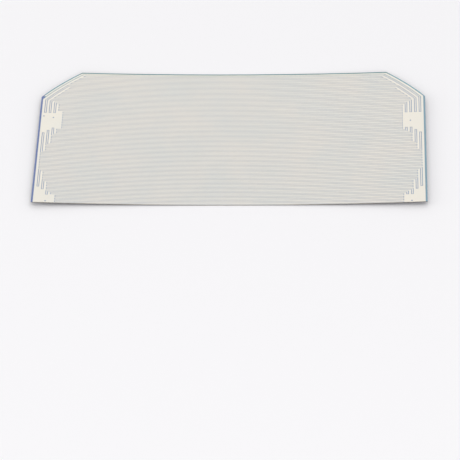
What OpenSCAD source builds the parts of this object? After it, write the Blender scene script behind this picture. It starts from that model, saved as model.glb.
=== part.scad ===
// Half of a back-contact solar cell, cut along the middle of a full cell and lying metal side up.
// Two plated combs, one for each polarity, interleave on the rear side of a thin silicon wafer.
// The plating shrinks as it cools, so the wafer is bowed and rests on the middle of its front side.
// Millimetres. The origin is under the middle of the cell, +X runs along the fingers towards the
// negative side, +Y away from the cut edge and +Z out of the metal side.

/* [Wafer] */
// Length of the cell along its fingers
cell_l = 125; // [112:1:138]
// Depth of the half cell, from the cut edge to the outer edge
cell_d = 62.5; // [56:0.5:66]
// Diameter of the round ingot, which gives the outer corners their arcs
ingot_d = 160; // [154:1:172]
// Thickness of the silicon
wafer_t = 0.17; // [0.12:0.01:0.3]
// Rise of the two ends above the middle
bow = 1.5; // [0:0.1:3]
// Flats that the bow is made of, an odd number so that one lies in the middle
bow_flats = 11; // [5:2:21]

/* [Fingers] */
// Thickness of the plating
plating_t = 0.05; // [0.02:0.01:0.1]
// Distance from one finger to the next of the same comb
finger_pitch = 1.2; // [1:0.05:1.4]
// Bare gap between neighbouring fingers
finger_gap = 0.15; // [0.1:0.01:0.2]
// Width of a positive finger at its root
pos_root_w = 0.48; // [0.3:0.02:0.56]
// Width of a negative finger at its root
neg_root_w = 0.52; // [0.3:0.02:0.56]

/* [Rim] */
// Bare margin along the two ends
end_margin = 0.6; // [0.3:0.05:0.9]
// Bare margin along the corner arcs
arc_margin = 0.4; // [0.2:0.05:0.9]
// Bare margin along the outer edge
outer_margin = 0.5; // [0.2:0.05:0.9]
// Width of the outermost finger where it runs on down the arc at its tip
wrap_w = 0.55; // [0.3:0.05:0.8]
// Width of a track that gathers fingers along the rim
track_w = 0.75; // [0.5:0.05:0.9]
// Width of the slot between two tracks, for a turned finger of the other comb
slot_w = 0.75; // [0.6:0.05:1]
// Bare gap around a turned finger and beyond every finger's tip
rim_gap = 0.2; // [0.12:0.01:0.25]
// Slots on the positive side
pos_slots = 3; // [1:1:4]
// Slots on the negative side
neg_slots = 4; // [1:1:4]

/* [Gathering] */
// Positive fingers on each track above the half pad, innermost track first
pos_above_half = [1, 1, 4, 4]; // [1:1:5]
// Positive fingers on each track below the whole pad
pos_below_whole = [1, 2, 4, 3]; // [1:1:5]
// Positive fingers on each track above the whole pad
pos_above_whole = [1, 3, 1, 6]; // [1:1:7]
// Negative fingers on each track above the half pad
neg_above_half = [1, 1, 4, 4]; // [1:1:5]
// Negative fingers on each track below the whole pad
neg_below_whole = [1, 1, 4, 3]; // [1:1:5]
// Negative fingers on each track above the whole pad
neg_above_whole = [4, 1, 6, 5]; // [1:1:7]

/* [Pads] */
// Height of a whole pad, in finger rows
pad_rows = 12; // [8:1:13]
// Middle of the whole pad, in finger rows from the cut edge
pad_row = 64.5; // [60:0.5:68]
// Finger pairs by which the half pad reaches up into each slot, innermost slot first
half_pad_reach = [0, 0, 2, 3]; // [0:1:3]
// Finger pairs by which the whole pad reaches down into each slot
whole_pad_reach = [0, 0, 1, 2]; // [0:1:3]
// Diameter of the small round openings in the pads
mark_d = 0.5; // [0.3:0.05:0.8]
// Distance of the positive pads' openings from the end of the cell
pos_mark_in = 4.5; // [3:0.1:6]
// Distance of the negative pads' openings from the end of the cell
neg_mark_in = 4.9; // [3:0.1:6]
// Height of the positive pad's opening above the middle of the pad
pos_mark_up = 1.35; // [-2:0.05:2]
// Height of the negative pad's opening above the middle of the pad
neg_mark_up = -0.35; // [-2:0.05:2]
// Distance of a half pad's opening from the cut edge
cut_mark_in = 0.65; // [0.5:0.05:2]
// Distance of the polarity opening from the positive end of the cell
polarity_in = 1.4; // [1.1:0.1:2.5]
// Height of the polarity opening above the middle of the positive pad
polarity_up = 1.95; // [-2.5:0.05:2.5]

/* [Hidden] */

silicon = [0.13, 0.17, 0.25];
tinned = [0.86, 0.85, 0.82];

// Finger rows are numbered from the cut edge, and the even ones are positive
POSITIVE = 0;
NEGATIVE = 1;
row_h = finger_pitch / 2;
field_d = cell_d - outer_margin;
last_row = floor((field_d - finger_gap) / row_h);
outermost = last_row % 2;
// A comb's tips lie between the roots of the other one
pos_tip_w = finger_pitch - 2 * finger_gap - neg_root_w;
neg_tip_w = finger_pitch - 2 * finger_gap - pos_root_w;

tracks = len(pos_above_half);
half_pad_top = pad_rows / 2;
pad_bottom = pad_row - pad_rows / 2;
pad_top = pad_row + pad_rows / 2;
pad_y = pad_row * row_h;

// How far the bowed sheets reach past the cell before they are trimmed
sheet_spare = 1;
// Length of a flat of the bow
flat_l = (cell_l + 2 * sheet_spare) / bow_flats;
// Longest step in height between two points along a corner arc
arc_step = 2 * row_h;
$fn = 360;

// Edges of the finger in a row at its root and at its tip, kept inside the plated field
function held(y) = max(0, min(y, field_d));
function root_w(row) = row % 2 == POSITIVE ? pos_root_w : neg_root_w;
function tip_w(row) = row % 2 == POSITIVE ? pos_tip_w : neg_tip_w;
function root_edge(row, side) = held(row * row_h + side * root_w(row) / 2);
function tip_edge(row, side) = held(row * row_h + side * tip_w(row) / 2);

// First row of a polarity at or above a row number, and the last one at or below it
function row_above(row, polarity) = 2 * ceil((row - polarity) / 2) + polarity;
function row_below(row, polarity) = 2 * floor((row - polarity) / 2) + polarity;
function sum_to(counts, last) = last < 0 ? 0 : counts[last] + sum_to(counts, last - 1);

// The outermost finger wraps round the other comb, whose tracks lie further in along their arc
function tracks_margin(polarity) =
    polarity == outermost ? arc_margin : arc_margin + wrap_w + rim_gap;

// Rails are the cell's end and corner arc drawn in by an inset, as x over the height y. The insets
// count from the end, and along the arc they differ by as much as its margin does.
function arc_r(inset, margin) = ingot_d / 2 - margin - (inset - end_margin);
function rail_x(inset, margin, y) =
    min(cell_l / 2 - inset, sqrt(pow(arc_r(inset, margin), 2) - y * y));
function corner_y(inset, margin) =
    sqrt(pow(arc_r(inset, margin), 2) - pow(cell_l / 2 - inset, 2));

// Heights of the points along a rail: its two ends, and steps along the corner arc
function rail_heights(low, high, corner) =
    let (arc_low = max(low, corner), steps = ceil((high - arc_low) / arc_step))
    high <= corner
        ? [low, high]
        : concat(low < corner ? [low] : [],
                 [for (i = [0:steps]) arc_low + (high - arc_low) * i / steps]);
function reversed(list) = [for (i = [len(list) - 1:-1:0]) list[i]];
function mirrored(points) = [for (p = points) [-p[0], p[1]]];
function rail(inset, margin, from, to) =
    let (heights = rail_heights(min(from, to), max(from, to), corner_y(inset, margin)))
    [for (y = from < to ? heights : reversed(heights)) [rail_x(inset, margin, y), y]];

// Inset of the inner edge of a track, where track 0 lies along the outer edge
function shelf(track) = end_margin + track_w + track * (track_w + slot_w);

// A rim steps in towards its pads. Each shelf from track 1 inwards holds three row numbers: where it
// ends above the half pad, and where it starts below and ends above the whole pad. The rim's number of
// slots and its margin along the arc go with them.
function rim(polarity, slots, above_half, below_whole, above_whole) = [
    [for (last = [tracks - 1:-1:0]) [
        row_above(half_pad_top, polarity) + 2 * sum_to(above_half, last) - 1,
        row_below(pad_bottom, polarity) - 2 * sum_to(below_whole, last) + 1,
        row_above(pad_top, polarity) + 2 * sum_to(above_whole, last) - 1
    ]],
    slots,
    tracks_margin(polarity)
];
pos_rim = rim(POSITIVE, pos_slots, pos_above_half, pos_below_whole, pos_above_whole);
neg_rim = rim(NEGATIVE, neg_slots, neg_above_half, neg_below_whole, neg_above_whole);

// How many shelves a row meets before the outer track
function level(rim, row) =
    len([for (s = rim[0]) if (row < s[0] || (row > s[1] && row < s[2])) row]);

// Slot that a row's finger turns into, as the way it runs and the height of its closed end
function slot(rim, row) =
    let (track = level(rim, row), ends = rim[0][track], i = tracks - 1 - track)
    track >= rim[1] ? undef
    : row == ends[0] ? [-1, (half_pad_top + 2 * half_pad_reach[i]) * row_h]
    : row == ends[1] ? [1, (pad_bottom - 2 * whole_pad_reach[i]) * row_h]
    : row == ends[2] ? [-1, pad_top * row_h]
    : undef;

// Path round the end of a row at a rim, from one height to a lower one, drawn in by a gap
function row_end(rim, row, from, to, gap) =
    let (
        margin = rim[2],
        outer = shelf(level(rim, row)) + gap,
        inner = outer + slot_w - 2 * gap,
        way = slot(rim, row),
        closed = is_undef(way) ? 0 : way[1] - way[0] * gap
    )
    is_undef(way) ? [[rail_x(outer, margin, from), from], [rail_x(outer, margin, to), to]]
    : way[0] < 0 ? concat(rail(outer, margin, from, closed), rail(inner, margin, closed, to))
    : concat(rail(inner, margin, from, closed), rail(outer, margin, closed, to));

// Path round the outermost finger's tip, down the arc to the end of the cell and back
function wrap_end(from, to) =
    let (closed = corner_y(end_margin, arc_margin) + rim_gap)
    concat(
        rail(end_margin, arc_margin, from, closed),
        rail(end_margin + wrap_w, arc_margin, closed, to)
    );

// Outline of a comb whose own rim lies towards +X: up the outer edge, then down over every finger
function comb(polarity, own_rim, far_rim) =
    let (last = row_below(last_row, polarity))
    concat(
        rail(end_margin, own_rim[2], 0, root_edge(last, 1)),
        [for (row = [last:-2:polarity]) each concat(
            mirrored(row == last_row
                ? wrap_end(tip_edge(row, 1), tip_edge(row, -1))
                : row_end(far_rim, row, tip_edge(row, 1), tip_edge(row, -1), rim_gap)),
            row > 0
                ? row_end(own_rim, row - 1, root_edge(row, -1), root_edge(row - 2, 1), 0)
                : []
        )]
    );

// Height of the bowed front side at the end of each flat, with the middle flat at zero
function bow_z(x) = bow * pow(2 * x / cell_l, 2);
bow_points = [
    for (i = [0:bow_flats])
        let (x = (i - bow_flats / 2) * flat_l)
        [x, bow_z(x) - bow_z(flat_l / 2)]
];
function raised(points, height) = [for (p = points) [p[0], p[1] + height]];

// Bowed sheet between two heights above the front side, longer and deeper than the cell
module bowed_sheet(low, high) {
    rotate([90, 0, 0]) linear_extrude(cell_d + 2 * sheet_spare, center = true)
        polygon(concat(raised(bow_points, low), reversed(raised(bow_points, high))));
}

// A flat shape, drawn from the cut edge, as a layer of the bowed cell
module layer(low, high) {
    intersection() {
        translate([0, -cell_d / 2, -sheet_spare])
            linear_extrude(bow + high + 2 * sheet_spare) children();
        bowed_sheet(low, high);
    }
}

// Round opening in the plating, at an inset from the end and a height above the cut edge
module opening(rim, inset, y) {
    translate([rail_x(inset, rim[2], y), y]) circle(d = mark_d);
}

module silicon_wafer() {
    color(silicon) layer(0, wafer_t) intersection() {
        translate([-cell_l / 2, 0]) square([cell_l, cell_d]);
        circle(d = ingot_d);
    }
}

module positive_contact() {
    color(tinned) layer(wafer_t, wafer_t + plating_t) mirror([1, 0]) difference() {
        polygon(comb(POSITIVE, pos_rim, neg_rim));
        opening(pos_rim, pos_mark_in, cut_mark_in);
        opening(pos_rim, pos_mark_in, pad_y + pos_mark_up);
        opening(pos_rim, polarity_in, pad_y + polarity_up);
    }
}

module negative_contact() {
    color(tinned) layer(wafer_t, wafer_t + plating_t) difference() {
        polygon(comb(NEGATIVE, neg_rim, pos_rim));
        opening(neg_rim, neg_mark_in, cut_mark_in);
        opening(neg_rim, neg_mark_in, pad_y + neg_mark_up);
    }
}

silicon_wafer();
positive_contact();
negative_contact();
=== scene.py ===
import math

import bpy
from mathutils import Matrix, Vector


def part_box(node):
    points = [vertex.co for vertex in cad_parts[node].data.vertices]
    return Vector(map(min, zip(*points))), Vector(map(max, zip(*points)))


# Looks of a half solar cell with back contacts, which lies metal side up on a pale table.
# Metres, in the part's own frame: +X along the fingers, +Y away from the cut edge, +Z up.

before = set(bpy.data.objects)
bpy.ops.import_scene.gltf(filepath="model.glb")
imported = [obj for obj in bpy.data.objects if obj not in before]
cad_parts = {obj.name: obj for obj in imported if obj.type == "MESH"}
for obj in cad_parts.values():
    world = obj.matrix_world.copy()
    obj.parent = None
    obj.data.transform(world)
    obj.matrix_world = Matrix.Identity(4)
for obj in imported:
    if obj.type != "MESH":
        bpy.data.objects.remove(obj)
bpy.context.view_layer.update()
cell_low, cell_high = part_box("silicon_wafer")

MM = 0.001

# Colours as sRGB bytes
TIN_WARM = (238, 233, 223)
TIN_COOL = (233, 231, 223)
FILM_STEEL = (124, 145, 180)
RIM_VIOLET = (104, 122, 170)
RIM_BLUE = (123, 156, 173)
RIM_TEAL = (82, 131, 136)
RIM_AQUA = (74, 145, 161)
FRONT_DARK = (16, 21, 40)
FRONT_BLUE = (20, 26, 48)
# The laser-cut edge's own dark grey-brown, made darker still as painted shade for the shadow beneath
# the edge
CUT_DARK_AND_PAINTED_SHADE = (60, 51, 44)
CUT_PALE_AND_PAINTED_SHADE = (94, 83, 74)
EDGE_GREY = (74, 92, 112)
TABLE = (249, 248, 250)

# Grain sizes, as texture repeats for each millimetre
CLOUDS = 0.06
MATTE_GRAIN = 8.0
FILM_CLOUDS = 0.09
PYRAMIDS = 30.0
SAW_MARKS = 6.0
SAW_STRETCH = (1, 1, 0.15)

# Spans of the noise that are stretched to full contrast, for fine grain and for clouds
GRAIN_SPAN = (0.3, 0.7)
CLOUD_SPAN = (0.35, 0.65)

# Tone and roughness from the low to the high spots of a grain, and the roughness of plain faces
TIN_TONE = (0.96, 1.0)
TIN_ROUGHNESS = (0.46, 0.58)
FRONT_ROUGHNESS = (0.26, 0.4)
FILM_ROUGHNESS = 0.34
CUT_ROUGHNESS = 0.6
TABLE_ROUGHNESS = 0.9
COATING_IOR = 1.5

# Depth and strength of the bumps
TIN_BUMP = (0.004 * MM, 0.5)
PYRAMID_BUMP = (0.002 * MM, 0.25)

# Least part of a normal along Z on the two sides of the wafer, and along Y on its cut edge
SIDE_NORMAL = 0.5
CUT_NORMAL = 0.9

# Width of the band in which the film's tint turns, how far the band wavers, and the corner arcs' radius
RIM_FADE = 0.8 * MM
RIM_WAVER = RIM_FADE / 3
ARC_RADIUS = 80 * MM

TABLE_SIZE = 6.0
TABLE_DROP = 0.02 * MM

# Light levels, where 1 shows a white surface as white
WORLD_LEVEL = 0.7
# Each lamp's place, size and level. The one behind is there for the metal to mirror.
LAMPS = {
    "key": ((0.2, -0.15, 1.2), 0.8, 0.09),
    "side": ((-1.0, -0.1, 0.36), 0.5, 0.045),
    "front": ((0.2, -1.0, 0.5), 0.6, 0.1),
    "back": ((-0.1, 0.9, 0.66), 1.0, 0.072),
}

# Camera, fitted to the cell's rim in the photograph
IMAGE_WIDTH = 460
FOCAL_PIXELS = 3213.8
SENSOR_MM = 36.0
CLIP_START = 0.01
CAMERA_AZIMUTH = math.radians(3.045)
CAMERA_ELEVATION = math.radians(43.790)
CAMERA_ROLL = math.radians(-2.165)
CAMERA_DISTANCE = 1.0042
CAMERA_AIM = Vector((0.662, -42.419, 0)) * MM


def linear(colour):
    """A colour in sRGB bytes as the linear RGBA that shaders take."""
    def channel(byte):
        c = byte / 255
        return c / 12.92 if c <= 0.04045 else ((c + 0.055) / 1.055) ** 2.4
    return tuple(channel(byte) for byte in colour) + (1.0,)


class Surface:
    """One material with a Principled shader, and short ways to add nodes to it."""

    def __init__(self, name):
        self.material = bpy.data.materials.new(name)
        self.material.use_nodes = True
        self.tree = self.material.node_tree
        self.shader = self.tree.nodes["Principled BSDF"]
        self.coords = self.add("ShaderNodeTexCoord").outputs["Object"]

    def add(self, kind, inputs=None, **settings):
        """Adds a node. Each input is a plain value or another node's output."""
        node = self.tree.nodes.new(kind)
        for name, value in settings.items():
            setattr(node, name, value)
        for key, value in (inputs or {}).items():
            self.set(node.inputs[key], value)
        return node

    def set(self, socket, value):
        """Links a socket to another node's output, or gives it a plain value."""
        if isinstance(value, bpy.types.NodeSocket):
            self.tree.links.new(value, socket)
        else:
            socket.default_value = value

    def shade(self, **inputs):
        """Sets the shader's inputs, whose names are written with _ for a space."""
        for name, value in inputs.items():
            self.set(self.shader.inputs[name.replace("_", " ")], value)

    def noise(self, per_mm, detail=2.0, stretch=(1, 1, 1)):
        """Noise from 0 to 1, with so many repeats for each millimetre."""
        spot = self.vector("MULTIPLY", self.coords, stretch).outputs["Vector"]
        return self.add(
            "ShaderNodeTexNoise", {"Vector": spot, "Scale": per_mm / MM, "Detail": detail}
        ).outputs["Fac"]

    def ramp(self, value, span, to_span=(0.0, 1.0)):
        """A value's span, stretched to another span and held there."""
        return self.add("ShaderNodeMapRange", {
            "Value": value,
            "From Min": span[0],
            "From Max": span[1],
            "To Min": to_span[0],
            "To Max": to_span[1],
        }).outputs["Result"]

    def math(self, operation, a, b):
        """A sum, product or comparison of two numbers."""
        return self.add("ShaderNodeMath", {0: a, 1: b}, operation=operation).outputs[0]

    def vector(self, operation, a, b):
        """The node that reckons with two vectors."""
        return self.add("ShaderNodeVectorMath", {0: a, 1: b}, operation=operation)

    def split(self, vector):
        """The X, Y and Z of a vector."""
        return self.add("ShaderNodeSeparateXYZ", {0: vector}).outputs

    def mix(self, factor, a, b):
        """Mixes two colours, or two numbers."""
        if not isinstance(a, (tuple, bpy.types.NodeSocketColor)):
            node = self.add("ShaderNodeMix", {0: factor, 2: a, 3: b}, data_type="FLOAT")
            return node.outputs[0]
        node = self.add("ShaderNodeMix", {0: factor, 6: a, 7: b}, data_type="RGBA")
        return node.outputs[2]

    def bump(self, height, depth, strength):
        """A normal from a height between 0 and 1 that stands for a depth in metres."""
        return self.add(
            "ShaderNodeBump", {"Height": height, "Distance": depth, "Strength": strength}
        ).outputs["Normal"]


def tinned_copper():
    """Matte tin on plated copper: a fine even grain with faint clouds of warmer tone."""
    tin = Surface("tinned_copper")
    clouds = tin.ramp(tin.noise(CLOUDS, 3.0), CLOUD_SPAN)
    grain = tin.noise(MATTE_GRAIN, 3.0)
    tone = tin.mix(clouds, linear(TIN_COOL), linear(TIN_WARM))
    shade = tin.ramp(grain, GRAIN_SPAN, TIN_TONE)
    tin.shade(
        Base_Color=tin.vector("MULTIPLY", tone, shade).outputs["Vector"],
        Metallic=1.0,
        Roughness=tin.ramp(grain, GRAIN_SPAN, TIN_ROUGHNESS),
        Normal=tin.bump(grain, *TIN_BUMP),
    )
    return tin.material


def silicon():
    """The wafer: a filmed rear side, a dark textured front side and bare edges; the cut edge is
    darkened with painted shade.
    """
    wafer = Surface("silicon")
    normal = wafer.split(wafer.add("ShaderNodeNewGeometry").outputs["True Normal"])
    is_rear = wafer.math("GREATER_THAN", normal["Z"], SIDE_NORMAL)
    is_front = wafer.math("LESS_THAN", normal["Z"], -SIDE_NORMAL)
    is_cut = wafer.math("LESS_THAN", normal["Y"], -CUT_NORMAL)

    # The film is steel blue between the fingers. Its rim is violet at the positive end, blue at the
    # negative end, teal along the outer edge and aqua along the corner arcs.
    waver = wafer.ramp(wafer.noise(FILM_CLOUDS), GRAIN_SPAN, (-RIM_WAVER, RIM_WAVER))

    def tint_rim(film, coordinate, rim, colour):
        """Tints the film where a coordinate comes near its value at the rim."""
        inward = math.copysign(RIM_FADE, -rim)
        nearness = wafer.ramp(
            wafer.math("ADD", coordinate, waver), (rim + 2 * inward, rim + inward)
        )
        return wafer.mix(nearness, film, linear(colour))

    arc_middle = (0, cell_low.y, 0)
    radius = wafer.vector("DISTANCE", wafer.coords, arc_middle).outputs["Value"]
    place = wafer.split(wafer.coords)
    rear = tint_rim(linear(FILM_STEEL), radius, ARC_RADIUS, RIM_AQUA)
    rear = tint_rim(rear, place["Y"], cell_high.y, RIM_TEAL)
    rear = tint_rim(rear, place["X"], cell_high.x, RIM_BLUE)
    rear = tint_rim(rear, place["X"], cell_low.x, RIM_VIOLET)

    pyramids = wafer.noise(PYRAMIDS)
    front_clouds = wafer.ramp(wafer.noise(CLOUDS), CLOUD_SPAN)
    front = wafer.mix(front_clouds, linear(FRONT_DARK), linear(FRONT_BLUE))
    front_roughness = wafer.ramp(pyramids, GRAIN_SPAN, FRONT_ROUGHNESS)

    # The cut edge: its own dark tone with saw marks, darkened further by painted shade that stands in
    # for the shadow beneath the edge
    marks = wafer.ramp(wafer.noise(SAW_MARKS, 3.0, SAW_STRETCH), GRAIN_SPAN)
    cut_tone_and_painted_shade = wafer.mix(marks, linear(CUT_DARK_AND_PAINTED_SHADE), linear(CUT_PALE_AND_PAINTED_SHADE))
    edges = wafer.mix(is_cut, linear(EDGE_GREY), cut_tone_and_painted_shade)

    smooth_faces = wafer.mix(is_front, FILM_ROUGHNESS, front_roughness)
    wafer.shade(
        Base_Color=wafer.mix(is_front, wafer.mix(is_rear, edges, rear), front),
        Roughness=wafer.mix(is_cut, smooth_faces, CUT_ROUGHNESS),
        IOR=COATING_IOR,
        Normal=wafer.bump(pyramids, *PYRAMID_BUMP),
    )
    return wafer.material


def table():
    """Pale matte table that fills the view."""
    bpy.ops.mesh.primitive_plane_add(size=TABLE_SIZE, location=(0, 0, -TABLE_DROP))
    top = bpy.context.object
    top.name = "table_top"
    matte = Surface("table")
    matte.shade(
        Base_Color=linear(TABLE),
        Roughness=TABLE_ROUGHNESS,
        Specular_IOR_Level=0.0,
    )
    top.data.materials.append(matte.material)


def lamp(name, place, size, level):
    """A large soft lamp that is aimed at the cell."""
    disk = bpy.data.lights.new(name, "AREA")
    disk.shape = "DISK"
    disk.size = size
    slant = place.z / place.length
    disk.energy = level * math.pi ** 2 * place.length_squared / slant
    stand = bpy.data.objects.new(name, disk)
    stand.location = place
    stand.rotation_euler = place.to_track_quat("Z", "Y").to_euler()
    bpy.context.scene.collection.objects.link(stand)


def light():
    """Even light from all round, and the lamps."""
    world = bpy.data.worlds.new("studio")
    world.use_nodes = True
    bpy.context.scene.world = world
    background = world.node_tree.nodes["Background"]
    background.inputs["Color"].default_value = (1.0, 1.0, 1.0, 1.0)
    background.inputs["Strength"].default_value = WORLD_LEVEL
    for name, (place, size, level) in LAMPS.items():
        lamp(name, Vector(place), size, level)


def camera():
    """The photograph's view, with the cell at its own place in the picture."""
    back = Vector((
        math.sin(CAMERA_AZIMUTH) * math.cos(CAMERA_ELEVATION),
        -math.cos(CAMERA_AZIMUTH) * math.cos(CAMERA_ELEVATION),
        math.sin(CAMERA_ELEVATION),
    ))
    level = Vector((math.cos(CAMERA_AZIMUTH), math.sin(CAMERA_AZIMUTH), 0))
    upright = back.cross(level)
    right = math.cos(CAMERA_ROLL) * level + math.sin(CAMERA_ROLL) * upright
    up = back.cross(right)
    lens = bpy.data.cameras.new("photo_view")
    lens.sensor_width = SENSOR_MM
    lens.lens = SENSOR_MM * FOCAL_PIXELS / IMAGE_WIDTH
    lens.clip_start = CLIP_START
    view = bpy.data.objects.new("photo_view", lens)
    turn = Matrix((right, up, back)).transposed().to_4x4()
    view.matrix_world = Matrix.Translation(CAMERA_AIM + back * CAMERA_DISTANCE) @ turn
    bpy.context.scene.collection.objects.link(view)
    bpy.context.scene.camera = view


def dress(node, material):
    """Gives a CAD node its finished material."""
    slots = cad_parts[node].data.materials
    slots.clear()
    slots.append(material)


plating = tinned_copper()
dress("positive_contact", plating)
dress("negative_contact", plating)
dress("silicon_wafer", silicon())
table()
light()
camera()
bpy.context.scene.view_settings.view_transform = "Standard"
